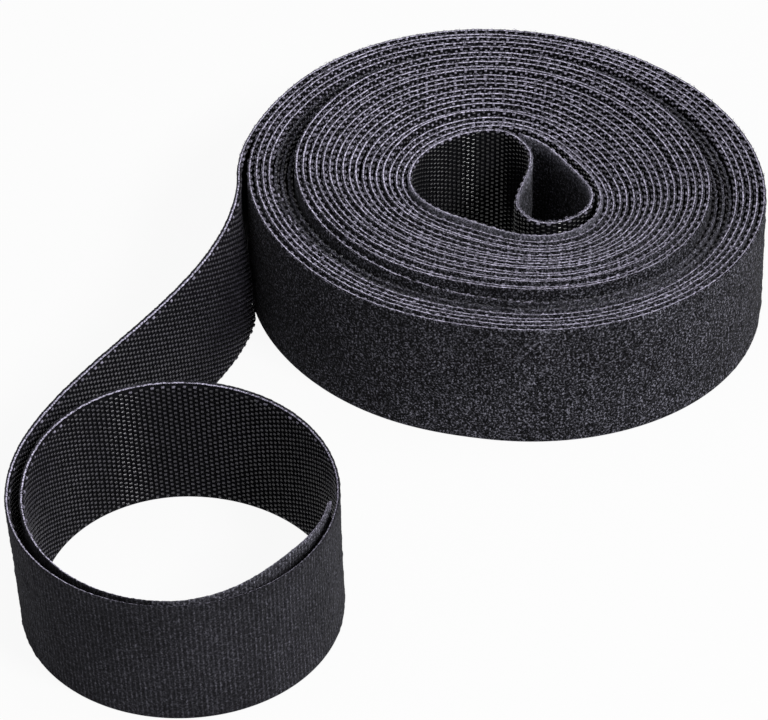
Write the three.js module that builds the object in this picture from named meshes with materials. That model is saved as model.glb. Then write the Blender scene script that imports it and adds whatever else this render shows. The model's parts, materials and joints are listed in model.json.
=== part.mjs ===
// A roll of back-to-back hook and loop tape standing on its edge. One strip of two bonded plies, pile
// outside and hooks inside, starts with a fold in the open core, winds outwards, leaves the roll as a
// free lead and ends in a loose ring. Millimetres, +Z up, the floor at z = 0.
import * as THREE from 'three';

// The tape.
const TAPE_WIDTH = 25;
const PILE_PLY = 0.35;
const BOND_GAP = 0.25;
const HOOK_PLY = 0.2;
const HOOK_EDGE_INSET = 0.5;

// The wound roll. Angles are in degrees about +Z and grow the way the tape winds outwards.
const CORE_RADIUS = 15.8;
const CORE_SHIFT_X = -0.85;
const CORE_SHIFT_Y = -2.3;
const CORE_OVAL = 2.05;
const RIM_OVAL = 1.85;
const OVAL_ANGLE = -42;
const CORE_LOBES = 1;
const LOBE_ANGLE = 77;
const FULL_TURNS = 23;
const TURN_GAP = 0.52;
const FIRST_ANGLE = 96;
const LEAVE_ANGLE = 180.5;

// How far the outer turns bulge on the lead's side, and over which angle to each side of the middle.
const RIM_BULGE = 1.5;
const BULGE_ANGLE = 205;
const BULGE_HALF_ANGLE = 60;

// How far the last turn stands off where the lead leaves it, and the angle over which it comes away.
const LAST_SLACK = 0.75;
const SLACK_ANGLE = 25;

// The inner turns rise off the floor towards a rim. The outer turns, counted from the lead, stand on it.
const RIM_LIFT = 2;
const RIM_TURNS_IN = 6;
const OUTER_TURNS = 5;

// The fold in the core: a run along the wall from the cut end, then a return to the first turn. The
// return's points are an angle and a share of the way from the core's middle to its wall.
const FOLD_RUN = [78, 61, 43, 24, 5, -10];
const FOLD_RETURN = [
  [-25, 0.89], [-38, 0.83], [-52, 0.79], [-67, 0.74], [-75, 0.55], [-62, 0.31],
  [-14, 0.20], [36, 0.34], [58, 0.53], [68, 0.72], [79, 0.84], [87.5, 0.915],
];

// The lead, an even bend one way and then the other, and the place along it where the ring swings. Its
// foot leans towards the roll, the most soon after it leaves and half as much at the middle.
const LEAD_START_PULL = 37;
const LEAD_END_PULL = 31;
const LEAD_LEAN = 3.5;
const LEAN_SHARE = 0.12;
const HALF_LEAN_SHARE = 0.5;
const RING_HINGE_SHARE = 0.64;

// The end ring: its middle from the roll's middle, its outer lap, how far the inner lap stands in, how
// far its foot leans towards +X, and how much less the foot's radius is.
const RING_X = -58.15;
const RING_Y = -89.7;
const RING_RADIUS = 28.7;
const RING_OVAL = 0.8;
const RING_START_ANGLE = 180;
const LAP_START_ANGLE = 450;
const LAP_EASE_ANGLE = 90;
const SIDE_GAP = 2.5;
const FLAP_START_ANGLE = 630;
const FRONT_GAP = 1.3;
const FLAP_MIDDLE_ANGLE = 676;
const FLAP_GAP = 3.2;
const TAPE_END_ANGLE = 714;
const END_GAP = 1.5;
const RING_LEAN = 1.3;
const RING_TAPER = 0.6;

// Room between neighbouring stretches, wider where the tape bends.
const JOIN_GAP = 0.3;
const HINGE_GAP = 0.6;

const STEPS_PER_TURN = 20;
const PITCH = PILE_PLY + BOND_GAP + HOOK_PLY + TURN_GAP;
const WOUND_TURNS = FULL_TURNS + (LEAVE_ANGLE - FIRST_ANGLE) / 360;

const { degToRad, lerp, smoothstep } = THREE.MathUtils;

// A smooth step from pair to pair of a place and a value.
function eased(pairs, at) {
  const next = pairs.findIndex(([place]) => place > at);
  if (next === 0) return pairs[0][1];
  if (next < 0) return pairs.at(-1)[1];
  const [[from, low], [to, high]] = pairs.slice(next - 1, next + 1);
  return lerp(low, high, smoothstep(at, from, to));
}

function polar(centre, angle, radius) {
  const turn = degToRad(angle);
  return new THREE.Vector2(Math.cos(turn), Math.sin(turn)).multiplyScalar(radius).add(centre);
}

function rollCentre(turn) {
  return new THREE.Vector2(CORE_SHIFT_X, CORE_SHIFT_Y).multiplyScalar(1 - turn / WOUND_TURNS);
}

function rollRadius(turn) {
  const angle = FIRST_ANGLE + 360 * turn;
  const share = turn / WOUND_TURNS;
  const oval = lerp(CORE_OVAL, RIM_OVAL, share) * Math.cos(2 * degToRad(angle - OVAL_ANGLE));
  const lobes = CORE_LOBES * (1 - share) * Math.cos(3 * degToRad(angle - LOBE_ANGLE));
  const near = smoothstep(Math.cos(degToRad(angle - BULGE_ANGLE)), Math.cos(degToRad(BULGE_HALF_ANGLE)), 1);
  const slack = LAST_SLACK * smoothstep(turn, WOUND_TURNS - SLACK_ANGLE / 360, WOUND_TURNS);
  return CORE_RADIUS + PITCH * turn + oval + lobes + RIM_BULGE * share * near + slack;
}

function rollPoint(turn) {
  return polar(rollCentre(turn), FIRST_ANGLE + 360 * turn, rollRadius(turn));
}

function rollLift(turn) {
  return eased([[0, 0], [WOUND_TURNS - RIM_TURNS_IN, RIM_LIFT], [WOUND_TURNS - OUTER_TURNS, 0]], turn);
}

// Turn numbers at equal angles, so the flats of neighbouring turns lie side by side.
function evenSteps(from, to, step) {
  const count = Math.ceil((to - from) / step - 0.2);
  return Array.from({ length: count + 1 }, (_, i) => (i < count ? from + i * step : to));
}

function rollRoute() {
  return evenSteps(0, WOUND_TURNS, 1 / STEPS_PER_TURN)
    .map((turn) => ({ point: rollPoint(turn), lift: rollLift(turn) }));
}

// A point in the core on the way to the wall that the first turn's end makes at this angle.
function corePoint(angle, share, inset) {
  const turn = (angle + 360 - FIRST_ANGLE) / 360;
  return polar(rollCentre(0), angle, (rollRadius(turn) - inset) * share);
}

function foldRoute() {
  const curve = new THREE.SplineCurve([
    ...FOLD_RUN.map((angle) => corePoint(angle, 1, PITCH)),
    ...FOLD_RETURN.map(([angle, share]) => corePoint(angle, share, 0)),
    rollPoint(0),
  ]);
  return curve.getSpacedPoints(36).map((point) => ({ point }));
}

function ringPoint(angle) {
  const standIn = eased([
    [LAP_START_ANGLE, 0], [LAP_START_ANGLE + LAP_EASE_ANGLE, SIDE_GAP], [FLAP_START_ANGLE, FRONT_GAP],
    [FLAP_MIDDLE_ANGLE, FLAP_GAP], [TAPE_END_ANGLE, END_GAP],
  ], angle);
  const radius = RING_RADIUS - RING_OVAL * Math.cos(2 * degToRad(angle)) - standIn;
  return polar(new THREE.Vector2(RING_X, RING_Y), angle, radius);
}

function ringRoute(from, to) {
  return evenSteps(from, to, 360 / STEPS_PER_TURN)
    .map((angle) => ({ point: ringPoint(angle), lean: RING_LEAN, taper: RING_TAPER }));
}

// From the roll's last turn, along its heading, to the ring's first point, along the ring's heading.
const lead = new THREE.CubicBezierCurve(
  rollPoint(WOUND_TURNS),
  rollPoint(WOUND_TURNS).sub(rollPoint(WOUND_TURNS - 0.01)).setLength(LEAD_START_PULL)
    .add(rollPoint(WOUND_TURNS)),
  ringPoint(RING_START_ANGLE).sub(ringPoint(RING_START_ANGLE + 1)).setLength(LEAD_END_PULL)
    .add(ringPoint(RING_START_ANGLE)),
  ringPoint(RING_START_ANGLE),
);

function leadRoute(from, to, steps) {
  return Array.from({ length: steps + 1 }, (_, i) => {
    const share = lerp(from, to, i / steps);
    const taper = eased([[0, 0], [LEAN_SHARE, LEAD_LEAN], [HALF_LEAN_SHARE, LEAD_LEAN / 2], [1, RING_TAPER]], share);
    return { point: lead.getPointAt(share), lean: RING_LEAN * smoothstep(share, 0, 1), taper };
  });
}

// The same route with its two ends drawn back.
function shortened(route, atStart, atEnd) {
  const pull = (end, next, by) => ({
    ...end, point: end.point.clone().lerp(next.point, by / end.point.distanceTo(next.point)),
  });
  return [pull(route[0], route[1], atStart), ...route.slice(1, -1), pull(route.at(-1), route.at(-2), atEnd)];
}

// Each place on a route with the direction of its pile side, to the right of the way it runs.
function stations(route) {
  return route.map((place, i) => {
    const run = route[Math.min(i + 1, route.length - 1)].point.clone().sub(route[Math.max(i - 1, 0)].point);
    return { ...place, side: new THREE.Vector2(run.y, -run.x).normalize() };
  });
}

// A point of the tape at a station, at a distance to its pile side and a height across its width.
function tapePoint({ point, side, lift = 0, lean = 0, taper = 0 }, across, up) {
  const foot = 1 - up / TAPE_WIDTH;
  const out = across - taper * foot;
  return [point.x + side.x * out + lean * foot, point.y + side.y * out, up + lift];
}

// A closed strip along a route, between two distances to its pile side and two heights.
function strip(route, near, far, low, high) {
  const places = stations(route);
  const corners = places.flatMap((place) => [
    [near, low], [far, low], [far, high], [near, high],
  ].flatMap(([across, up]) => tapePoint(place, across, up)));
  const last = 4 * (places.length - 1);
  const faces = [0, 1, 2, 0, 2, 3, last, last + 2, last + 1, last, last + 3, last + 2];
  for (let base = 0; base < last; base += 4) {
    for (let edge = 0; edge < 4; edge += 1) {
      const a = base + edge;
      const b = base + ((edge + 1) % 4);
      // Both sides are split the same way, so that twisted plies stay an even gap apart.
      if (edge < 3) faces.push(a, a + 4, b + 4, a, b + 4, b);
      else faces.push(a, a + 4, b, a + 4, b + 4, b);
    }
  }
  const geometry = new THREE.BufferGeometry();
  geometry.setAttribute('position', new THREE.Float32BufferAttribute(corners, 3));
  geometry.setIndex(faces);
  geometry.computeVertexNormals();
  return geometry;
}

const group = new THREE.Group();
group.name = 'hook_and_loop_tape_roll';

function addStretch(name, route) {
  const pile = new THREE.MeshStandardMaterial({ color: 0x1c1c1e, roughness: 0.95 });
  const hooks = new THREE.MeshStandardMaterial({ color: 0x2a2a2d, roughness: 0.5 });
  const bond = BOND_GAP / 2;
  const plies = [
    ['pile_ply', strip(route, bond, bond + PILE_PLY, 0, TAPE_WIDTH), pile],
    ['hook_ply', strip(route, -bond - HOOK_PLY, -bond, HOOK_EDGE_INSET, TAPE_WIDTH - HOOK_EDGE_INSET), hooks],
  ];
  for (const [ply, geometry, material] of plies) {
    const mesh = new THREE.Mesh(geometry, material);
    mesh.name = `${name}_${ply}`;
    group.add(mesh);
  }
}

// The least distance between points of a route that lie over half a turn apart along it.
function leastSpacing(route) {
  let least = Infinity;
  for (let i = 0; i < route.length; i += 1) {
    for (let j = i + STEPS_PER_TURN / 2; j < route.length; j += 1) {
      least = Math.min(least, route[i].point.distanceTo(route[j].point));
    }
  }
  return least;
}

const wound = shortened(rollRoute(), JOIN_GAP / 2, HINGE_GAP / 2);
const free = leadRoute(0, RING_HINGE_SHARE, 26);
const ring = [...leadRoute(RING_HINGE_SHARE, 1, 6).slice(0, -1), ...ringRoute(RING_START_ANGLE, FLAP_START_ANGLE)];
const flap = ringRoute(FLAP_START_ANGLE, TAPE_END_ANGLE);

addStretch('core_fold', shortened(foldRoute(), 0, JOIN_GAP / 2));
addStretch('roll', wound);
addStretch('lead', shortened(free, HINGE_GAP / 2, HINGE_GAP / 2));
addStretch('end_ring', shortened(ring, HINGE_GAP / 2, HINGE_GAP / 2));
addStretch('end_flap', shortened(flap, HINGE_GAP / 2, 0));

// The origin is under the middle of the whole part, on the floor.
const middle = new THREE.Box3().setFromObject(group).getCenter(new THREE.Vector3());
for (const mesh of group.children) mesh.geometry.translate(-middle.x, -middle.y, 0);

console.log(`least gap of a ply to itself: roll ${(leastSpacing(wound) - PILE_PLY).toFixed(2)} mm,`
  + ` ring ${(leastSpacing([...ring, ...flap]) - PILE_PLY).toFixed(2)} mm`);
for (const [name, route] of Object.entries({ lead: free, end_ring: ring, end_flap: flap })) {
  const [x, y] = tapePoint(stations(route)[0], 0, TAPE_WIDTH / 2);
  console.log(`${name} bends at x ${(x - middle.x).toFixed(2)} y ${(y - middle.y).toFixed(2)}`);
}

export default group;
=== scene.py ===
"""A roll of black back-to-back hook and loop tape with a free lead and a loose end ring.

It is dressed for a studio picture. The tape is one strip on one line in plan: a fold in the core,
the wound turns, the lead, and the ring. Sizes are in millimetres from the roll's middle until a
mesh is made, and angles in degrees. s is the distance along the tape from its inner cut end,
across is to its pile side, and up is across its width.
"""
import json
import math

import bpy
import numpy as np
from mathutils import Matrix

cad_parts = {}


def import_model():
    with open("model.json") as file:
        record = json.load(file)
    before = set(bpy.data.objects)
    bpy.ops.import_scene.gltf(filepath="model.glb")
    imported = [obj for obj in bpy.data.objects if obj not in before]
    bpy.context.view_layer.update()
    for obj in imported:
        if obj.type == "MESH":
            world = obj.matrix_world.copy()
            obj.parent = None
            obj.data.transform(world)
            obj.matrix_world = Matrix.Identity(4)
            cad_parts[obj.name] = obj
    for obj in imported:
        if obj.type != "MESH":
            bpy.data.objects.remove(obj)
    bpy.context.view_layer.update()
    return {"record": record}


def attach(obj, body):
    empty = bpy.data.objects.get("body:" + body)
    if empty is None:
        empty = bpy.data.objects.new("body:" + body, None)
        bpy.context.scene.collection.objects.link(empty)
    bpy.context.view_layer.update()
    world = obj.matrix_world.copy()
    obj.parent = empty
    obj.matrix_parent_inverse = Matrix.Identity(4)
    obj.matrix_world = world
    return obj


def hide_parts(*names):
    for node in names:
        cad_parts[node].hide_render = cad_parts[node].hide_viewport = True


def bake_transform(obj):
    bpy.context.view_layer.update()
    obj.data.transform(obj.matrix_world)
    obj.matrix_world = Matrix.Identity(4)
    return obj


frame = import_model()
MM_PER_METRE = 1000

# The roll in plan. Its line is that of the solids, with more turns in the same width.
TAPE_WIDTH = 25.0
CORE_RADIUS = 15.8
CORE_SHIFT = np.array([-0.85, -2.3])
CORE_OVAL = 2.05
RIM_OVAL = 1.85
OVAL_ANGLE = -42.0
CORE_LOBES = 1.0
LOBE_ANGLE = 77.0
FIRST_ANGLE = 96.0
LEAVE_ANGLE = 180.5
RIM_BULGE = 1.5
BULGE_ANGLE = 205.0
BULGE_HALF_ANGLE = 60.0
LAST_SLACK = 0.75
SLACK_ANGLE = 25.0
FULL_TURNS = 25
SOLID_TURNS = 23
SOLID_PITCH = 1.32
PART_TURN = (LEAVE_ANGLE - FIRST_ANGLE) / 360
WOUND = FULL_TURNS + PART_TURN
PITCH = SOLID_PITCH * (SOLID_TURNS + PART_TURN) / WOUND

# The fold: angles along the first turn's inside, then angles and shares of the core's radius on
# the way back, which follow the photograph more closely than the solids do.
FOLD_RUN = [78, 61, 43, 24, 5, -10]
FOLD_RETURN = [
    (-25, 0.89), (-38, 0.83), (-52, 0.775), (-65, 0.685), (-71, 0.50), (-66.5, 0.305),
    (4, 0.222), (41.5, 0.42), (55, 0.571), (65.5, 0.715), (77.5, 0.83), (87.5, 0.915),
]

# The lead, with the lean of its cupped foot in shares of its length. Its two directions are
# measured over a short way of the roll and of the ring.
ROLL_END_TURN = 0.01
RING_START_ANGLE = 1
LEAD_START_PULL = 37.0
LEAD_END_PULL = 31.0
RING_HINGE_SHARE = 0.64
LEAD_LEAN = 3.5
LEAN_SHARE = 0.12
HALF_LEAN_SHARE = 0.5
LEAN_CUP = 1.0

# The ring, and how far its second lap stands inside the first.
RING_CENTRE = np.array([-58.15, -89.7])
RING_RADIUS = 28.7
RING_OVAL = 0.8
RING_START = 180.0
LAP_START = 450.0
LAP_EASE = 90.0
SIDE_GAP = 2.5
FLAP_START = 630.0
FRONT_GAP = 1.3
FLAP_MIDDLE = 676.0
FLAP_GAP = 3.2
TAPE_END = 714.0
END_GAP = 1.5
RING_LEAN = 1.3
RING_TAPER = 0.6

# How unevenly the turns were wound, in turns counted back from the lead: a raised rim eight turns
# in, and low turns outside it, painted dark as shade on their edges and paler as light on the top
# of their nap. The proud first turn is counted from the fold.
RIM_LIFT = 2.0
RIM_TURNS_IN = 8.05
OUTER_TURNS = 7.7
LOW_TURNS = (4.6, 5.2, 7.3, 7.8)
LOW_DROP = 0.7
PAINTED_LOW_TURNS = (7.85, 4.9)
PAINTED_LOW_FADE = 30.0
PAINTED_LOW_LIGHT = 0.3
PROUD_TURNS = (0.05, 0.35, 0.75, 1.1)
PROUD_LIFT = 0.8
UP_AND_DOWN = (0, 1, 1, 0)

# A wander of the turns, apart from the truest ones next to the lead and the fold. A new random
# value comes after so many points of the roll's line.
LIFT_WANDER = 0.16
LIFT_WANDER_POINTS = 90
LIFT_FLUTTER = 0.1
LIFT_FLUTTER_POINTS = 31
SWAY = 0.055
SWAY_POINTS = 25
TRUE_OUTER_TURNS = 0.8
TRUE_INNER_TURNS = 0.6

# Points on each stretch of the line. The fold's are for each of its spans.
FOLD_POINTS = 14
ROLL_POINTS = 4400
LEAD_POINTS = 260
RING_POINTS = 640

# Where one piece of tape passes into the next, in turns or from a hinge.
CORE_PIECE_TURNS = 1.0
OUTER_PIECE_TURNS = 1.04
BEFORE_HINGE = 3.0
LEAD_PIECE_SHARE = 0.5
PAST_RING_HINGE = 20.0
LEAD_BEND = 18.0
RING_BEND = 18.0
FLAP_BEND = 14.0

# The tape's section: the hook side's backing, the sealed edge, and the pile side's foot.
HOOK_BASE = -0.11
HOOK_BEVEL = 0.03
BACK_HOLLOW = 0.02
SEAL = 0.12
PILE_BASE = 0.31
PILE_BEVEL = 0.04
BEAD = 0.06
FOOT_POINTS = 4
EDGE_POINTS = 5

# The nap, and how it leans over a free top edge.
NAP = 0.085
NAP_LEVEL = 0.9
NAP_FINE = 0.55
NAP_COARSE = 0.45
COARSE_PASSES = 4
NAP_FOOT = 0.02
NAP_MARGIN = 0.3
NAP_EDGE = 0.6
NAP_EDGE_LEAST = 0.35
OVERHANG = 0.34
SHOULDER = 0.1
SHOULDER_DROP = 0.05
SEAL_RISE = 0.04
EDGE_WAVE = 0.02
EDGE_FUZZ = 0.015
EDGE_LIFT = 0.03
LIT_NAP = 3.0
RIB_SPACING = 0.85
BRUSH_FADE = 30.0

# Hooks: steps along and across the tape, their distance from its top edge, and their scatter.
HOOK_STEP = 0.953
HOOK_RISE = 0.923
HOOK_FOOT = 0.45
HOOK_SINK = 0.02
WOUND_HOOK_EDGE = 0.25
LEAD_HOOK_EDGE = 0.5
FREE_HOOK_EDGE = 0.72
HOOK_SHIFT = 0.03
HOOK_RISE_SHIFT = 0.02
TOP_HOOK_SPREAD = 0.16
HOOK_SPREAD = 0.07

# A hook's rings from root to tip: distance along the tape, height off the backing, and distance
# across the tape's width.
HOOK_RINGS = [
    ((-0.36, -0.03, 0.0), (-0.27, -0.03, 0.17), (-0.18, -0.03, 0.0), (-0.27, -0.03, -0.17)),
    ((-0.26, 0.37, 0.0), (-0.22, 0.22, 0.27), (-0.14, 0.10, 0.0), (-0.22, 0.22, -0.27)),
    ((0.26, 0.37, 0.0), (0.22, 0.22, 0.27), (0.14, 0.10, 0.0), (0.22, 0.22, -0.27)),
    ((0.34, 0.08, 0.0), (0.28, 0.08, 0.17), (0.22, 0.08, 0.0), (0.28, 0.08, -0.17)),
]

# Stray loops, with the range of each one's place and size.
LOOP_RADIUS = 0.033
LOOP_RINGS = 5
LOOP_SIDES = 3
LOOP_DROP = (0.02, 0.3)
LOOP_LENGTH = (-0.7, 0.7)
LOOP_ACROSS = (-0.18, 0.1)
LOOP_LEAN = (-0.05, 0.2)
LOOP_HEIGHT = (0.05, 0.42)
CUT_LOOPS = 420
CUT_SPREAD = 0.25
CUT_DROP = 3

dice = np.random.default_rng(7)


# The tape's line


def eased(pairs, at):
    """A smooth step from pair to pair of a place and a value."""
    places, values = (np.array(column, float) for column in zip(*pairs))
    at = np.asarray(at, float)
    i = np.clip(np.searchsorted(places, at, side="right") - 1, 0, len(places) - 2)
    t = np.clip((at - places[i]) / (places[i + 1] - places[i]), 0, 1)
    return values[i] + (values[i + 1] - values[i]) * t * t * (3 - 2 * t)


def polar(angle, radius):
    """Points in plan at angles and distances."""
    turn = np.radians(angle)
    return np.stack([np.cos(turn), np.sin(turn)], -1) * np.asarray(radius)[..., None]


def roll_radius(turn):
    """The winding's radius after so many turns."""
    angle, share = FIRST_ANGLE + 360 * turn, turn / WOUND
    oval = CORE_OVAL + (RIM_OVAL - CORE_OVAL) * share
    oval = oval * np.cos(2 * np.radians(angle - OVAL_ANGLE))
    lobes = CORE_LOBES * (1 - share) * np.cos(3 * np.radians(angle - LOBE_ANGLE))
    bulge_edge = math.cos(math.radians(BULGE_HALF_ANGLE))
    near = eased([(bulge_edge, 0), (1, 1)], np.cos(np.radians(angle - BULGE_ANGLE)))
    slack = eased([(WOUND - SLACK_ANGLE / 360, 0), (WOUND, LAST_SLACK)], turn)
    return CORE_RADIUS + PITCH * turn + oval + lobes + RIM_BULGE * share * near + slack


def roll_line(turn):
    """The winding in plan. Its core lies off the roll's middle."""
    turn = np.asarray(turn, float)
    middle = CORE_SHIFT * (1 - turn / WOUND)[..., None]
    return middle + polar(FIRST_ANGLE + 360 * turn, roll_radius(turn))


def core_point(angle, share, inset):
    """A point at a share of the core's radius."""
    turn = (angle + 360 - FIRST_ANGLE) / 360
    return CORE_SHIFT + polar(angle, (roll_radius(turn) - inset) * share)


def fold_line(steps):
    """A Catmull-Rom curve through the fold's points, up to the first turn."""
    points = [core_point(angle, 1.0, PITCH) for angle in FOLD_RUN]
    points += [core_point(angle, share, 0.0) for angle, share in FOLD_RETURN]
    points = np.array(points + [roll_line(0.0)])
    last = len(points) - 1
    t = np.linspace(0, 1, steps, endpoint=False)[:, None]
    line = []
    for i in range(last):
        p0, p1, p2, p3 = (points[j] for j in (max(i - 1, 0), i, i + 1, min(i + 2, last)))
        v0, v1 = (p2 - p0) / 2, (p3 - p1) / 2
        cubic, square = 2 * p1 - 2 * p2 + v0 + v1, -3 * p1 + 3 * p2 - 2 * v0 - v1
        line.append(cubic * t**3 + square * t**2 + v0 * t + p1)
    return np.concatenate(line)


def ring_line(angle):
    """The ring in plan. Its second lap runs inside the first, up to the outer cut end."""
    angle = np.asarray(angle, float)
    stand_in = eased([
        (LAP_START, 0), (LAP_START + LAP_EASE, SIDE_GAP), (FLAP_START, FRONT_GAP),
        (FLAP_MIDDLE, FLAP_GAP), (TAPE_END, END_GAP),
    ], angle)
    radius = RING_RADIUS - RING_OVAL * np.cos(2 * np.radians(angle)) - stand_in
    return RING_CENTRE + polar(angle, radius)


def lead_line(steps):
    """A Bezier curve from the roll's end to the ring's start, in line with both."""
    start, end = roll_line(WOUND), ring_line(RING_START)
    out = start - roll_line(WOUND - ROLL_END_TURN)
    back = end - ring_line(RING_START + RING_START_ANGLE)
    points = [
        start,
        start + out / np.hypot(*out) * LEAD_START_PULL,
        end + back / np.hypot(*back) * LEAD_END_PULL,
        end,
    ]
    t = np.linspace(0, 1, steps, endpoint=False)[:, None]
    weights = [(1 - t) ** 3, 3 * t * (1 - t) ** 2, 3 * t * t * (1 - t), t**3]
    return sum(w * p for w, p in zip(weights, points))


def wander(count, step, seed):
    """A smooth random line of about unit size, with a new value every step places."""
    knots = np.random.default_rng(seed).normal(size=count // step + 4)
    at = np.arange(count) / step + 1
    i = at.astype(int)
    t = at - i
    t = t * t * (3 - 2 * t)
    return knots[i] * (1 - t) + knots[i + 1] * t


class Tape:
    """The tape's line, with its pile side, its lift, and its foot's lean and taper."""

    def __init__(self):
        turns = np.linspace(0, WOUND, ROLL_POINTS, endpoint=False)
        ring_angles = np.linspace(RING_START, TAPE_END, RING_POINTS)
        fold, roll = fold_line(FOLD_POINTS), roll_line(turns)
        lead, ring = lead_line(LEAD_POINTS), ring_line(ring_angles)
        roll_from, lead_from, ring_from = np.cumsum([len(fold), len(roll), len(lead)])

        def in_roll(values):
            return np.concatenate([np.zeros(len(fold)), values, np.zeros(len(lead) + len(ring))])

        calm = self.calm(turns)
        self.lift = in_roll(self.roll_lift(turns, calm))
        self.xy = np.concatenate([fold, roll, lead, ring])
        sway = in_roll(calm * SWAY * wander(len(turns), SWAY_POINTS, seed=5))
        self.xy = self.xy + self.sides() * sway[:, None]
        self.side = self.sides()
        self.s = np.concatenate([[0], np.hypot(*np.diff(self.xy, axis=0).T).cumsum()])

        def at_turn(turn):
            return self.s[roll_from + np.searchsorted(turns, turn)]

        self.roll_end, self.ring_start = self.s[lead_from], self.s[ring_from]
        self.end = self.s[-1]
        self.second_turn = at_turn(CORE_PIECE_TURNS)
        self.last_turn = at_turn(WOUND - OUTER_PIECE_TURNS)
        self.painted_low = [at_turn(WOUND - left_over) for left_over in PAINTED_LOW_TURNS]
        self.ring_hinge = self.on_lead(RING_HINGE_SHARE)
        self.flap_hinge = self.s[ring_from + np.searchsorted(ring_angles, FLAP_START)]
        self.lean = eased([(self.roll_end, 0), (self.ring_start, RING_LEAN)], self.s)
        self.taper = eased([
            (self.on_lead(0), 0),
            (self.on_lead(LEAN_SHARE), LEAD_LEAN),
            (self.on_lead(HALF_LEAN_SHARE), LEAD_LEAN / 2),
            (self.on_lead(1), RING_TAPER),
        ], self.s)

    @staticmethod
    def calm(turns):
        """From 0 at the roll's two ends, which run true, to 1 on the turns that wander."""
        outer = eased([(0, 0), (TRUE_OUTER_TURNS, 1)], WOUND - turns)
        return outer * eased([(0, 0), (TRUE_INNER_TURNS, 1)], turns)

    @staticmethod
    def roll_lift(turns, calm):
        """How far each place in the roll stands above the outer turns, or below."""
        rim = [(0, 0), (WOUND - RIM_TURNS_IN, RIM_LIFT), (WOUND - OUTER_TURNS, 0)]
        lift = eased(rim, turns)
        lift -= LOW_DROP * eased(list(zip(LOW_TURNS, UP_AND_DOWN)), WOUND - turns)
        lift += PROUD_LIFT * eased(list(zip(PROUD_TURNS, UP_AND_DOWN)), turns)
        slow = LIFT_WANDER * wander(len(turns), LIFT_WANDER_POINTS, seed=3)
        fast = LIFT_FLUTTER * wander(len(turns), LIFT_FLUTTER_POINTS, seed=4)
        return lift + calm * (slow + fast)

    def on_lead(self, share):
        """The place at a share of the lead's length."""
        return self.roll_end + share * (self.ring_start - self.roll_end)

    def painted_low_share(self, s):
        """From 0 on an ordinary turn to 1 on a low turn, which is painted with shade and light."""
        return np.clip(np.minimum(s - self.painted_low[0], self.painted_low[1] - s) / PAINTED_LOW_FADE, 0, 1)

    def sides(self):
        """A unit vector to the pile side at each point of the line."""
        run = np.gradient(self.xy, axis=0)
        run /= np.hypot(*run.T)[:, None]
        return np.stack([run[:, 1], -run[:, 0]], -1)

    def place(self, s, across, up):
        """Points in space for arrays of one shape."""
        shape = np.shape(s)
        s, across, up = np.ravel(s), np.ravel(across), np.ravel(up)

        def read(values):
            return np.interp(s, self.s, values)

        side = np.stack([read(self.side[:, 0]), read(self.side[:, 1])], -1)
        side /= np.hypot(*side.T)[:, None]
        foot = 1 - up / TAPE_WIDTH
        inward = read(self.taper) * foot * (1 + LEAN_CUP * (1 - foot))
        line = np.stack([read(self.xy[:, 0]), read(self.xy[:, 1])], -1)
        x, y = (line + side * (across - inward)[:, None]).T
        # A raised turn is lifted whole, and a low one is squashed onto the floor.
        lift = read(self.lift)
        z = up + np.where(lift > 0, lift, lift * np.clip(1 - foot, 0, 1))
        return np.stack([x + read(self.lean) * foot, y, z], -1).reshape(*shape, 3)


tape = Tape()
JOINTS = {joint["name"]: joint for joint in frame["record"]["behaviour"]["joints"]}
LEAD_HINGE = np.array(JOINTS["lead_swing"]["pos_m"][:2]) * MM_PER_METRE
ROLL_MIDDLE = np.array([*(LEAD_HINGE - roll_line(WOUND)), 0.0])

# Where one piece ends and the next begins.
leave = tape.roll_end - BEFORE_HINGE
lead_end = tape.roll_end + LEAD_PIECE_SHARE * (tape.ring_hinge - tape.roll_end)
bend_end = tape.ring_hinge + PAST_RING_HINGE
flap_from = tape.flap_hinge - BEFORE_HINGE
lap_from = (bend_end + flap_from) / 2


def row(points):
    """Millimetres from the roll's middle to metres in the row frame."""
    return (np.asarray(points, float) + ROLL_MIDDLE) / MM_PER_METRE


def tape_point(s):
    """The middle of the tape's width at s, in the row frame."""
    return tuple(row(tape.place(np.array([s]), np.zeros(1), np.full(1, TAPE_WIDTH / 2)))[0])


# Materials

COOL = (1.0, 0.985, 1.2)
LILAC = (1.0, 0.945, 1.22)
PLAIN = (1, 1, 1)

# Scales of the noise, in grains per metre.
FUZZ_SCALE = 2700
PILE_PATCH_SCALE = 70
YARN_SCALE = 2600
EDGE_PATCH_SCALE = 130
WEAVE_SCALE = 1500
FILAMENT_SCALE = 900

# The pile's tones from the hollows to the specks, at these values of the fuzz. The hollows, where
# the bump is lowest, are painted darkest, as shade between the loops.
FUZZ_STOPS = (0.36, 0.5, 0.6, 0.7)
NAPPED_TONES = (0.002, 0.014, 0.07, 0.21)
BRUSHED_TONES = (0.014, 0.024, 0.043, 0.078)
LIT_TONES = (0.04, 0.11, 0.22, 0.42)
NAPPED_RIBS = 0.16
BRUSHED_RIBS = 0.4

# The depth of each bump, in metres.
FUZZ_DEPTH = 0.0002
YARN_DEPTH = 0.0001


def material(name, **sockets):
    """A new material with values for its shader's sockets, its node tree and its shader."""
    made = bpy.data.materials.new(name)
    made.use_nodes = True
    shader = made.node_tree.nodes["Principled BSDF"]
    for socket, value in sockets.items():
        shader.inputs[socket.replace("_", " ")].default_value = value
    return made, made.node_tree, shader


def node(tree, kind, links=(), **values):
    """A new node with its properties or sockets set, and linked from other sockets."""
    made = tree.nodes.new(kind)
    for name, value in values.items():
        if name in made.bl_rna.properties:
            setattr(made, name, value)
        else:
            made.inputs[name].default_value = value
    for socket, source in dict(links).items():
        tree.links.new(source, made.inputs[socket])
    return made


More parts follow.
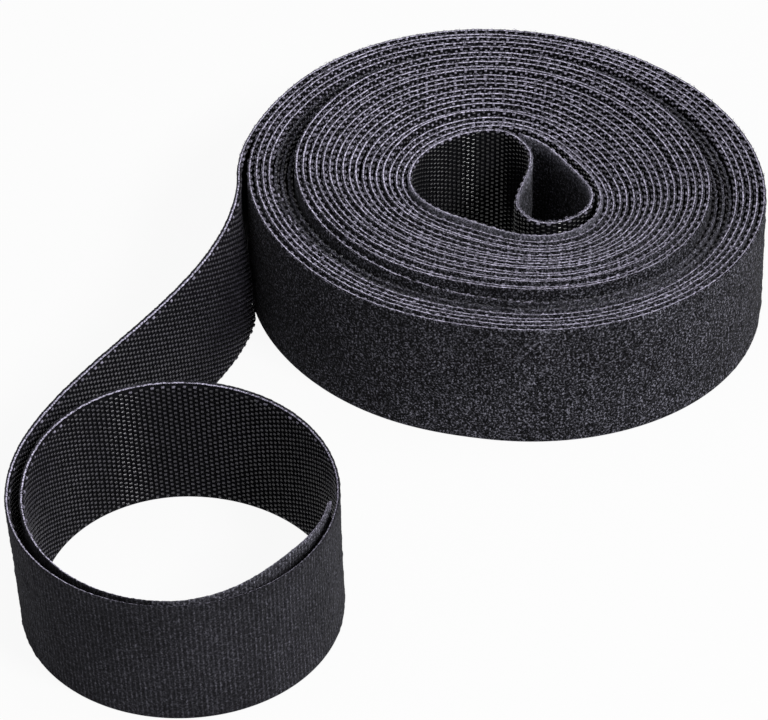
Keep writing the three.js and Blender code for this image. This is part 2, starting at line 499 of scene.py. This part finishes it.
def ramp(tree, source, *stops, tint=PLAIN):
    """Stops of a place and a tone along a value from 0 to 1, all in one tint."""
    made = node(tree, "ShaderNodeValToRGB", {"Fac": source})
    line = made.color_ramp
    while len(line.elements) < len(stops):
        line.elements.new(0.5)
    for element, (place, tone) in zip(line.elements, stops):
        element.position = place
        element.color = (*(tone * t for t in tint), 1)
    return made.outputs["Color"]


def grain(tree, scale, detail=1.0, roughness=0.6):
    """Noise that stays with the piece."""
    where = node(tree, "ShaderNodeTexCoord")
    made = node(
        tree, "ShaderNodeTexNoise", {"Vector": where.outputs["Object"]},
        Scale=scale, Detail=detail, Roughness=roughness,
    )
    return made.outputs["Fac"]


def blended(tree, blend, factor, a, b):
    """Two colours blended by a factor, or wholly where that is None."""
    made = node(tree, "ShaderNodeMix", data_type="RGBA", blend_type=blend)
    made.inputs["Factor"].default_value = 1.0
    for socket, source in ((0, factor), (6, a), (7, b)):
        if source:
            tree.links.new(source, made.inputs[socket])
    return made.outputs[2]


def times(tree, a, b):
    """One colour times another."""
    return blended(tree, "MULTIPLY", None, a, b)


def rough(tree, shader, height, strength, depth):
    """A bump on the shader's normal."""
    bump = node(tree, "ShaderNodeBump", {"Height": height}, Strength=strength, Distance=depth)
    tree.links.new(bump.outputs["Normal"], shader.inputs["Normal"])


def pile_material(name, rib_depth, tones):
    """Dark napped loops with light specks, ribs across the tape, and a lit rim."""
    made, tree, shader = material(
        name, Roughness=0.95, Specular_IOR_Level=0.05, Sheen_Weight=0.03, Sheen_Roughness=0.5,
    )
    fuzz = grain(tree, FUZZ_SCALE, roughness=0.7)
    along = node(tree, "ShaderNodeAttribute", attribute_name="along")
    rib = node(tree, "ShaderNodeMath", {0: along.outputs["Fac"]}, operation="SINE")
    rim = node(tree, "ShaderNodeAttribute", attribute_name="rim")
    dark = ramp(tree, fuzz, *zip(FUZZ_STOPS, tones), tint=COOL)
    lit = ramp(tree, fuzz, *zip(FUZZ_STOPS, LIT_TONES), tint=COOL)
    colour = blended(tree, "MIX", rim.outputs["Fac"], dark, lit)
    patches = ramp(tree, grain(tree, PILE_PATCH_SCALE), (0.3, 0.8), (0.7, 1.15))
    colour = times(tree, colour, patches)
    ribs = ramp(tree, rib.outputs["Value"], (0.0, 1 - rib_depth), (1.0, 1 + rib_depth))
    colour = times(tree, colour, ribs)
    tree.links.new(colour, shader.inputs["Base Color"])
    rough(tree, shader, fuzz, 0.7, FUZZ_DEPTH)
    return made


def edge_material():
    """The pale sealed edge of the backing, broken up by its yarns."""
    made, tree, shader = material("sealed_edge", Roughness=0.7, Specular_IOR_Level=0.2)
    yarn = grain(tree, YARN_SCALE)
    colour = ramp(tree, yarn, (0.34, 0.06), (0.5, 0.38), (0.66, 0.78), tint=LILAC)
    patches = ramp(tree, grain(tree, EDGE_PATCH_SCALE), (0.3, 0.75), (0.65, 1.1))
    tree.links.new(times(tree, colour, patches), shader.inputs["Base Color"])
    rough(tree, shader, yarn, 0.6, YARN_DEPTH)
    return made


def backing_material():
    """The near-black weave that the hooks stand on."""
    made, tree, shader = material("hook_backing", Roughness=0.9, Specular_IOR_Level=0.05)
    weave = grain(tree, WEAVE_SCALE, detail=2.0)
    colour = ramp(tree, weave, (0.35, 0.005), (0.7, 0.009), tint=COOL)
    tree.links.new(colour, shader.inputs["Base Color"])
    rough(tree, shader, weave, 0.4, YARN_DEPTH)
    return made


def hook_material(name, dark, light, roughness, gloss):
    """Filament, from dark to light by patches."""
    made, tree, shader = material(name, Roughness=roughness, Specular_IOR_Level=gloss)
    colour = ramp(tree, grain(tree, FILAMENT_SCALE), (0.35, dark), (0.65, light), tint=LILAC)
    tree.links.new(colour, shader.inputs["Base Color"])
    return made


PILE = pile_material("napped_pile", NAPPED_RIBS, NAPPED_TONES)
SOFT_PILE = pile_material("brushed_pile", BRUSHED_RIBS, BRUSHED_TONES)
EDGE, BACKING = edge_material(), backing_material()
HOOKS = hook_material("filament_hooks", 0.019, 0.042, roughness=0.25, gloss=0.5)
# Painted shade: a darker copy of the hooks, for inside the core.
CORE_HOOKS = hook_material("shaded_hooks", 0.005, 0.014, roughness=0.16, gloss=0.7)
# Pale top hooks: the colour of cut filament, with a painted highlight.
CUT_AND_HIGHLIT_HOOKS = hook_material("cut_and_highlit_hooks", 0.06, 0.34, roughness=0.5, gloss=0.3)
LOOPS = hook_material("stray_loops", 0.2, 0.5, roughness=0.6, gloss=0.2)


# Meshes

TAPE_MATERIALS = [EDGE, PILE, BACKING, SOFT_PILE]
ON_EDGE, ON_PILE, ON_BACKING, ON_SOFT_PILE = range(len(TAPE_MATERIALS))

# A strip's lengths on its baked picture, which lie one above the other with room between them.
# Its two caps lie in a spare corner.
PICTURE_LEFT, PICTURE_WIDTH = 0.005, 0.98
SHELF_FOOT, SHELF_HEIGHT = 0.01, 0.97
SPARE_CORNER = 0.995


def mesh_piece(name, points, quads, caps, materials, marks, u, v):
    """A smooth mesh of four-sided faces and then its caps.

    The marks choose each face's material. u and v place its corners on its baked picture.
    """
    mesh = bpy.data.meshes.new(name)
    corners = np.concatenate([quads.ravel(), *caps]).astype(np.int32)
    sizes = np.concatenate([np.full(len(quads), 4), [len(cap) for cap in caps]]).astype(np.int32)
    starts = np.concatenate([[0], sizes.cumsum()[:-1]]).astype(np.int32)
    mesh.vertices.add(len(points))
    mesh.vertices.foreach_set("co", row(points).astype(np.float32).ravel())
    mesh.loops.add(len(corners))
    mesh.loops.foreach_set("vertex_index", corners)
    mesh.polygons.add(len(sizes))
    mesh.polygons.foreach_set("loop_start", starts)
    for made in materials:
        mesh.materials.append(made)
    mesh.polygons.foreach_set("material_index", np.asarray(marks, np.int32))
    mesh.polygons.foreach_set("use_smooth", np.ones(len(sizes), bool))
    layer = mesh.uv_layers.new(name="OFBake")
    layer.uv.foreach_set("vector", np.stack([u, v], -1).astype(np.float32).ravel())
    mesh.update(calc_edges=True)
    mesh.validate()
    made = bpy.data.objects.new(name, mesh)
    bpy.context.scene.collection.objects.link(made)
    return made


def soften(values, passes=1):
    """Random numbers with each place averaged with its neighbours, at unit size."""
    for _ in range(passes):
        values = (values + np.roll(values, 1, 0) + np.roll(values, -1, 0)) / 3
        values = (values + np.roll(values, 1, 1) + np.roll(values, -1, 1)) / 3
    return values / values.std()


def tape_section(rise, free):
    """The tape's closed outline, as points across and up.

    It has its foot's points, a point for each row of nap, the top edge's points, which a free
    tape's nap hangs over, and the middle of the hook side.
    """
    w, base = TAPE_WIDTH, PILE_BASE
    foot = [(HOOK_BASE, BEAD), (HOOK_BASE + HOOK_BEVEL, 0.0)]
    foot += [(base - PILE_BEVEL, 0.0), (base, BEAD)]
    nap = [(base + NAP_FOOT, z) for z in rise]
    if free:
        edge = [(base + SHOULDER, w - SHOULDER_DROP), (base, w + OVERHANG), (SEAL, w + SEAL_RISE)]
    else:
        edge = [(base, w - BEAD), (base - PILE_BEVEL, w), (SEAL, w)]
    edge += [(HOOK_BASE + HOOK_BEVEL, w), (HOOK_BASE, w - BEAD)]
    return np.array([*foot, *nap, *edge, (HOOK_BASE + BACK_HOLLOW, w / 2)])


def face_marks(s, rows):
    """Each face's material. On the low turns the edge is painted as dark nap, as shade, and the nap
    gets brushed towards the lead.
    """
    first_edge = FOOT_POINTS + rows
    around = np.full(first_edge + EDGE_POINTS + 1, ON_EDGE)
    around[FOOT_POINTS - 1:first_edge + 2] = ON_PILE
    around[first_edge + EDGE_POINTS - 1:] = ON_BACKING
    marks = np.tile(around, len(s))
    # Painted shade: on the low turns the pale edge is painted as dark nap.
    painted_low = np.repeat(dice.random(len(s)) < tape.painted_low_share(s), len(around))
    marks[(marks == ON_EDGE) & painted_low] = ON_PILE
    brushed = np.repeat(np.clip((s - leave) / BRUSH_FADE + 1, 0, 1), len(around))
    marks[(marks == ON_PILE) & (dice.random(marks.size) < brushed)] = ON_SOFT_PILE
    return marks


def strip_picture(section, length, i, j, steps):
    """Each face's corners on the baked picture of a strip that is cut into lengths."""
    ends = np.diff(np.array([*section, section[0]]), axis=0)
    around = np.concatenate([[0], np.hypot(*ends.T).cumsum()])
    shelves = max(1, round(math.sqrt(length / around[-1])))
    per = math.ceil(steps / shelves)
    shelf = i // per
    run = np.stack([i, i + 1, i + 1, i], -1) - (shelf * per)[:, None]
    turn = np.stack([around[j], around[j], around[j + 1], around[j + 1]], -1) / around[-1]
    u = PICTURE_LEFT + PICTURE_WIDTH * run / per
    return u, (shelf[:, None] + SHELF_FOOT + SHELF_HEIGHT * turn) / shelves


def strip(name, start, end, step, rows, free=False, lit=0.0):
    """A closed length of tape, napped on the pile side in that many rows.

    A free one's nap hangs over its top edge, and a lit one's is paler there.
    """
    rise = np.linspace(NAP_MARGIN, TAPE_WIDTH - NAP_MARGIN, rows)
    section = tape_section(rise, free)
    count, k = max(2, round((end - start) / step) + 1), len(section)
    s = np.linspace(start, end, count)
    across, up = section.T
    grid_s, grid_a = np.meshgrid(s, across, indexing="ij")
    grid_u = np.broadcast_to(up, grid_s.shape).copy()

    nap = slice(FOOT_POINTS, FOOT_POINTS + rows)
    edge = slice(FOOT_POINTS + rows, FOOT_POINTS + rows + EDGE_POINTS)
    field = NAP_FINE * soften(dice.normal(size=(count, rows)))
    field = field + NAP_COARSE * soften(dice.normal(size=(count, rows)), COARSE_PASSES)
    from_edge = np.minimum(rise, TAPE_WIDTH - rise)
    swell = np.sin(np.pi / 2 * np.clip(from_edge / NAP_EDGE, NAP_EDGE_LEAST, 1))
    grid_a[:, nap] += NAP * (NAP_LEVEL + field) * swell
    wave = EDGE_WAVE * dice.normal(size=(count, 1))
    grid_a[:, edge] += wave + EDGE_FUZZ * dice.normal(size=(count, EDGE_POINTS))
    grid_u[:, edge] += EDGE_LIFT * dice.normal(size=(count, 1))
    points = tape.place(grid_s, grid_a, grid_u).reshape(-1, 3)

    i, j = np.meshgrid(np.arange(count - 1), np.arange(k), indexing="ij")
    i, j = i.ravel(), j.ravel()
    a, b = i * k + j, i * k + (j + 1) % k
    quads = np.stack([a, a + k, b + k, b], -1)
    caps = [np.arange(k), (count - 1) * k + np.arange(k)[::-1]]
    # A cut end shows the tape's edge, and a seam with the next piece its dark backing.
    cap_marks = [ON_EDGE if start == 0 else ON_BACKING, ON_EDGE if end == tape.end else ON_BACKING]
    marks = np.concatenate([face_marks(s[:-1], rows), cap_marks])
    u, v = strip_picture(section, end - start, i, j, count - 1)
    spare = np.full(2 * k, SPARE_CORNER)
    made = mesh_piece(
        name, points, quads, caps, TAPE_MATERIALS, marks,
        np.concatenate([u.ravel(), spare]), np.concatenate([v.ravel(), spare]),
    )

    ribs = np.repeat(s * 2 * math.pi / RIB_SPACING, k)
    # The top of the nap is painted paler as light: on a lit piece, and on the low turns.
    lit_here = np.maximum(lit, PAINTED_LOW_LIGHT * tape.painted_low_share(s))[:, None]
    rim = (lit_here * np.clip(1 - (TAPE_WIDTH - grid_u) / LIT_NAP, 0, 1)).ravel()
    for attribute, values in (("along", ribs), ("rim", rim)):
        layer = made.data.attributes.new(attribute, "FLOAT", "POINT")
        layer.data.foreach_set("value", values.astype(np.float32))
    return made


def tube_faces(rings, sides):
    """The faces of a tube whose points run ring by ring."""
    faces = []
    for ring in range(rings - 1):
        here, there = sides * ring, sides * (ring + 1)
        for side in range(sides):
            beside = (side + 1) % sides
            faces.append([here + side, here + beside, there + beside, there + side])
    return faces


def spread(values, least=0.0):
    """Values moved to run from 0 to 1, or less far where they span less than the least."""
    return (values - values.min()) / max(np.ptp(values), least)


def hooks(
    name, start, end, edge, reach,
    tall=1.0, long=1.0, paint=HOOKS, pale_top_share=0.55, pale_top_ranks=1,
):
    """Arched hooks on the tape's inner side, from edge to reach below its top.

    Every other column is half a step lower. Some of the top ranks are pale: cut by the slitting
    knife, and painted as a highlight where they catch the light.
    """
    columns = np.arange(math.ceil(start / HOOK_STEP), math.floor(end / HOOK_STEP) + 1)
    depth = min(reach, TAPE_WIDTH - HOOK_FOOT) - edge
    ranks = np.arange(0, int(depth / HOOK_RISE * 2) + 1)
    column, rank = (grid.ravel() for grid in np.meshgrid(columns, ranks, indexing="ij"))
    keep = (column + rank) % 2 == 0
    column, rank = column[keep], rank[keep]
    n = len(column)
    s = column * HOOK_STEP + HOOK_SHIFT * dice.normal(size=n)
    up = TAPE_WIDTH - edge - rank * HOOK_RISE / 2 + HOOK_RISE_SHIFT * dice.normal(size=n)
    vary = np.where(rank == 0, TOP_HOOK_SPREAD, HOOK_SPREAD)
    size = 1 + vary * dice.normal(size=n).clip(-2, 2)
    way = np.where(rank // 2 % 2 == 0, 1.0, -1.0)
    # Pale top hooks are cut filament and also a painted highlight. There are fewer of them on the
    # low turns, as painted shade.
    cut = (rank < pale_top_ranks) & (dice.random(n) < pale_top_share * (1 - tape.painted_low_share(s)))

    rings, sides = len(HOOK_RINGS), len(HOOK_RINGS[0])
    shape = np.array(HOOK_RINGS).reshape(-1, 3)
    along = s[:, None] + (way * size * long)[:, None] * shape[:, 0]
    across = HOOK_BASE + HOOK_SINK - (size * tall)[:, None] * shape[:, 1]
    high = up[:, None] + shape[:, 2]
    points = tape.place(along, across, high).reshape(-1, 3)
    tip = list(range(len(shape) - sides, len(shape)))
    faces = np.array([*tube_faces(rings, sides), tip])
    turned = np.where(way[:, None, None] > 0, faces[None], faces[None, :, ::-1])
    quads = (turned + len(shape) * np.arange(n)[:, None, None]).reshape(-1, 4)
    u, v = spread(along).ravel()[quads], spread(high, least=1.0).ravel()[quads]
    marks = np.repeat(cut, len(faces))
    made = mesh_piece(name, points, quads, [], [paint, CUT_AND_HIGHLIT_HOOKS], marks, u.ravel(), v.ravel())

    # Each ring is a crease, so that a hook is round across and straight along.
    ends = np.empty(2 * len(made.data.edges), np.int32)
    made.data.edges.foreach_get("vertices", ends)
    crease = made.data.attributes.new("sharp_edge", "BOOLEAN", "EDGE")
    crease.data.foreach_set("value", ends[::2] // sides == ends[1::2] // sides)
    return made


def stray_loops(name, start, end, per_mm, cut=None):
    """Thin three-sided arches out of the pile along the tape's top edge, thick at a cut end."""
    n = round((end - start) * per_mm)
    s, drop = dice.uniform(start, end, n), dice.uniform(*LOOP_DROP, n)
    if cut is not None:
        s = np.concatenate([s, cut + dice.normal(0, CUT_SPREAD, CUT_LOOPS)])
        drop = np.concatenate([drop, CUT_DROP * dice.random(CUT_LOOPS) ** 2])

    def vary(limits):
        return dice.uniform(*limits, (len(s), 1, 1))

    share = np.linspace(0, 1, LOOP_RINGS)[None, :, None]
    turn = np.radians([90, 210, 330])[None, None, :]
    bow = np.sin(np.pi * share)
    along = s[:, None, None] + vary(LOOP_LENGTH) * (share - 0.5)
    across = PILE_BASE + vary(LOOP_ACROSS) + vary(LOOP_LEAN) * bow + LOOP_RADIUS * np.cos(turn)
    high = TAPE_WIDTH - drop[:, None, None] + vary(LOOP_HEIGHT) * bow + LOOP_RADIUS * np.sin(turn)
    along, across, high = np.broadcast_arrays(along, across, high)
    points = tape.place(along, across, high).reshape(-1, 3)
    faces = np.array(tube_faces(LOOP_RINGS, LOOP_SIDES))
    first = LOOP_RINGS * LOOP_SIDES * np.arange(len(s))
    quads = (faces + first[:, None, None]).reshape(-1, 4)
    u, v = spread(along).ravel()[quads], spread(high).ravel()[quads]
    marks = np.zeros(len(quads))
    return mesh_piece(name, points, quads, [], [LOOPS], marks, u.ravel(), v.ravel())


# The pieces

FINE_STEP, FINE_ROWS = ((0.34, 74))
CORE_STEP, CORE_ROWS = 0.45, 40
ROLL_STEP, ROLL_ROWS = 1.0, 8
CORE_LIT, FLAP_LIT = 1.0, 0.7

core_tape = strip("core_tape", 0, tape.second_turn, CORE_STEP, CORE_ROWS, lit=CORE_LIT)
roll_tape = strip("roll_tape", tape.second_turn, tape.last_turn, ROLL_STEP, ROLL_ROWS)
outer_tape = strip("outer_turn_tape", tape.last_turn, leave, FINE_STEP, FINE_ROWS)
lead_tape = strip("lead_tape", leave, lead_end, FINE_STEP, FINE_ROWS, free=True)
bend_tape = strip("ring_bend_tape", lead_end, bend_end, FINE_STEP, FINE_ROWS, free=True)
ring_tape = strip("ring_tape", bend_end, flap_from, FINE_STEP, FINE_ROWS, free=True)
flap_tape = strip("flap_tape", flap_from, tape.end, FINE_STEP, FINE_ROWS, free=True, lit=FLAP_LIT)

# Between the turns only the top ranks of hooks show, and most of those are pale: cut, and painted
# as a highlight.
WHOLE, TOP_ROWS = TAPE_WIDTH, 1.3
CUT_END_MARGIN = 0.4
WOUND_PALE_TOP_SHARE = 0.9

core_hooks = hooks(
    "core_hooks", CUT_END_MARGIN, tape.second_turn, WOUND_HOOK_EDGE, WHOLE,
    paint=CORE_HOOKS, pale_top_share=WOUND_PALE_TOP_SHARE,
)
roll_hooks = hooks(
    "roll_hooks", tape.second_turn, leave, WOUND_HOOK_EDGE, TOP_ROWS,
    tall=1.35, long=0.75, pale_top_share=WOUND_PALE_TOP_SHARE, pale_top_ranks=2,
)
lead_hooks = hooks("lead_hooks", leave, lead_end, LEAD_HOOK_EDGE, WHOLE)
bend_hooks = hooks("ring_bend_hooks", lead_end, bend_end, LEAD_HOOK_EDGE, WHOLE)
ring_hooks = hooks("ring_hooks", bend_end, lap_from, FREE_HOOK_EDGE, WHOLE)
lap_hooks = hooks("ring_lap_hooks", lap_from, flap_from, FREE_HOOK_EDGE, WHOLE)
flap_hooks = hooks("flap_hooks", flap_from, tape.end - CUT_END_MARGIN, FREE_HOOK_EDGE, WHOLE)

FLAP_LOOP_LENGTH = 12

core_loops = stray_loops("core_loops", 0, tape.second_turn, per_mm=6, cut=0)
roll_loops = stray_loops("roll_loops", tape.second_turn, leave, per_mm=1.6)
flap_loops = stray_loops(
    "flap_loops", tape.end - FLAP_LOOP_LENGTH, tape.end, per_mm=5, cut=tape.end,
)

for piece in (core_tape, roll_tape, outer_tape, core_hooks, roll_hooks, core_loops, roll_loops):
    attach(piece, "roll")
for piece in (lead_tape, lead_hooks):
    bent_by = tape_point(tape.roll_end + LEAD_BEND)
    tape_point(tape.roll_end)
    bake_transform(piece)
for piece in (bend_tape, bend_hooks):
    bent_by = tape_point(tape.ring_hinge + RING_BEND)
    tape_point(tape.ring_hinge)
    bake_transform(piece)
for piece in (ring_tape, ring_hooks, lap_hooks):
    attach(piece, "end_ring")
for piece in (flap_tape, flap_hooks, flap_loops):
    bent_by = tape_point(tape.flap_hinge + FLAP_BEND)
    tape_point(tape.flap_hinge)
    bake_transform(piece)

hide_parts("core_fold_pile_ply", "core_fold_hook_ply")
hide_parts("roll_pile_ply", "roll_hook_ply")
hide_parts("lead_pile_ply", "lead_hook_ply")
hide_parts("end_ring_pile_ply", "end_ring_hook_ply")
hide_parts("end_flap_pile_ply", "end_flap_hook_ply")

# The studio, in metres

FLOOR_HALF = 3
FLOOR_GREY = 0.75
FLOOR_GLOW = 0.93
WORLD_LIGHT, WORLD_SEEN = 0.22, 1.0
SENSOR_WIDTH = 36
PHOTO_WIDTH_PIXELS = 768
FOCAL_PIXELS = 5500
CAMERA_TILT = 38.3
CAMERA_AIM_MM = (-22.49, -22.23, 0)
CAMERA_DISTANCE = 0.995
CAMERA_REACH = 20


def seen_rays(tree):
    """1 for rays that see the backdrop: from the camera, a gloss or glass."""
    path = node(tree, "ShaderNodeLightPath")
    seen = path.outputs["Is Camera Ray"]
    for kind in ("Is Glossy Ray", "Is Transmission Ray"):
        either = node(tree, "ShaderNodeMath", {0: seen, 1: path.outputs[kind]}, operation="MAXIMUM")
        seen = either.outputs[0]
    return seen


def floor():
    """A pale floor that is nearly white to look at and keeps the part's shadow."""
    mesh = bpy.data.meshes.new("floor")
    h = FLOOR_HALF
    mesh.from_pydata([(-h, -h, 0), (h, -h, 0), (h, h, 0), (-h, h, 0)], [], [(0, 1, 2, 3)])
    made = bpy.data.objects.new("floor", mesh)
    bpy.context.scene.collection.objects.link(made)
    grey = (FLOOR_GREY, FLOOR_GREY, FLOOR_GREY, 1)
    paint, tree, shader = material(
        "pale_floor", Base_Color=grey, Roughness=0.9, Specular_IOR_Level=0.1,
    )
    share = node(tree, "ShaderNodeMath", {0: seen_rays(tree)}, operation="MULTIPLY")
    share.inputs[1].default_value = FLOOR_GLOW
    glow = node(tree, "ShaderNodeEmission", Color=(1, 1, 1, 1), Strength=1.0)
    inputs = {0: share.outputs[0], 1: shader.outputs[0], 2: glow.outputs[0]}
    both = node(tree, "ShaderNodeMixShader", inputs)
    tree.links.new(both.outputs[0], tree.nodes["Material Output"].inputs["Surface"])
    mesh.materials.append(paint)


def world():
    """A white backdrop that lights the part only a little."""
    made = bpy.data.worlds.new("studio")
    bpy.context.scene.world = made
    made.use_nodes = True
    tree = made.node_tree
    strength = node(tree, "ShaderNodeMapRange", {"Value": seen_rays(tree)})
    strength.inputs["To Min"].default_value = WORLD_LIGHT
    strength.inputs["To Max"].default_value = WORLD_SEEN
    back = tree.nodes["Background"]
    back.inputs["Color"].default_value = (1, 1, 1, 1)
    tree.links.new(strength.outputs[0], back.inputs["Strength"])


def lamp(name, azimuth, elevation, distance, size, power):
    """A soft square lamp that faces the part. Azimuth 0 is on the camera's side, 90 right."""
    data = bpy.data.lights.new(name, "AREA")
    data.size, data.energy = size, power
    made = bpy.data.objects.new(name, data)
    bpy.context.scene.collection.objects.link(made)
    a, e = math.radians(azimuth), math.radians(elevation)
    way = np.array([math.sin(a) * math.cos(e), -math.cos(a) * math.cos(e), math.sin(e)])
    made.location = distance * way
    made.rotation_euler = (math.pi / 2 - e, 0, a)


def camera():
    """The photograph's camera: a long lens that looks down on the part from the front."""
    data = bpy.data.cameras.new("camera")
    data.sensor_width, data.clip_end = SENSOR_WIDTH, CAMERA_REACH
    data.lens = SENSOR_WIDTH * FOCAL_PIXELS / PHOTO_WIDTH_PIXELS
    made = bpy.data.objects.new("camera", data)
    bpy.context.scene.collection.objects.link(made)
    tilt = math.radians(CAMERA_TILT)
    back_off = CAMERA_DISTANCE * np.array([0, -math.cos(tilt), math.sin(tilt)])
    made.location = row(CAMERA_AIM_MM) + back_off
    made.rotation_euler = (math.pi / 2 - tilt, 0, 0)
    bpy.context.scene.camera = made


floor()
world()
lamp("key", azimuth=45, elevation=45, distance=1.2, size=0.3, power=10)
lamp("top", azimuth=-130, elevation=74, distance=1.2, size=0.8, power=1.0)
lamp("side", azimuth=95, elevation=40, distance=1.4, size=0.6, power=4.8)
lamp("fill", azimuth=-60, elevation=35, distance=1.4, size=0.8, power=0.6)
camera()
bpy.context.scene.view_settings.view_transform = "Standard"
